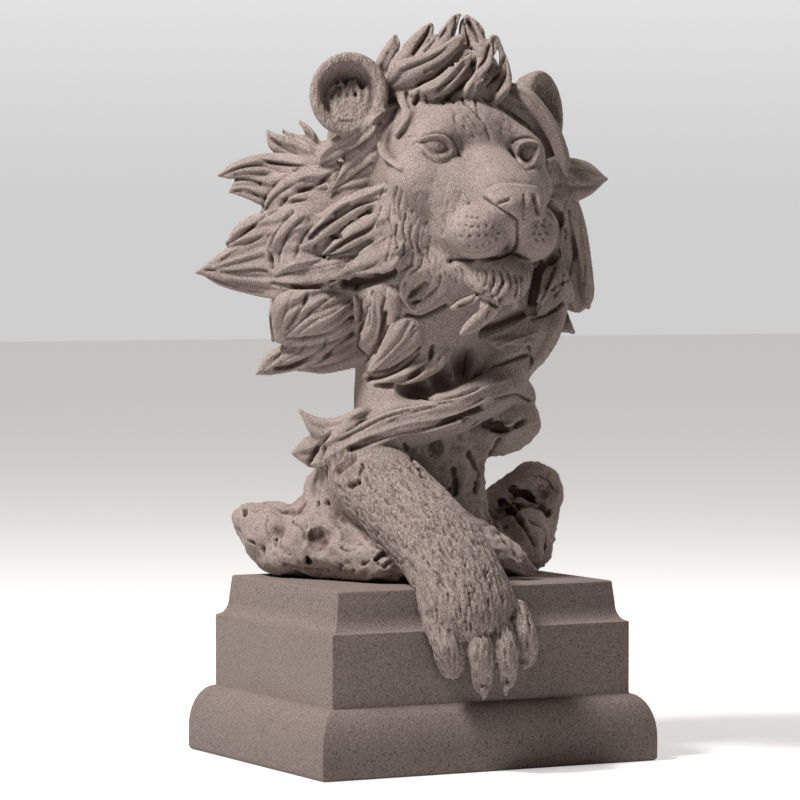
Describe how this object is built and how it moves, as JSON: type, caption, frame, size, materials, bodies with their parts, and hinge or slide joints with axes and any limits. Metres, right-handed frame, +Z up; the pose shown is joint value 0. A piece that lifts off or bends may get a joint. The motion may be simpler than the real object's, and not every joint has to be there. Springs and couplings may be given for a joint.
{
  "type": "lion statue",
  "caption": "Cast sandstone lion's head and forepaw rising from weathered rock on a moulded rectangular plinth, a desk or shelf ornament.",
  "frame": {"origin": "middle of the plinth's underside", "axes": "+Z up; the plinth's front, over which the paw hangs, faces -Y; +X to the figure's own left"},
  "size_m": [0.1716, 0.1629, 0.3332],
  "materials": {
    "plinth": "smooth matt sandstone resin with fine dark and light grains",
    "lion": "carved matt sandstone resin, paler on the high parts and dark in the recesses"
  },
  "bodies": {
    "root": {"plinth": "plinth", "lion": "lion"}
  },
  "joints": []
}
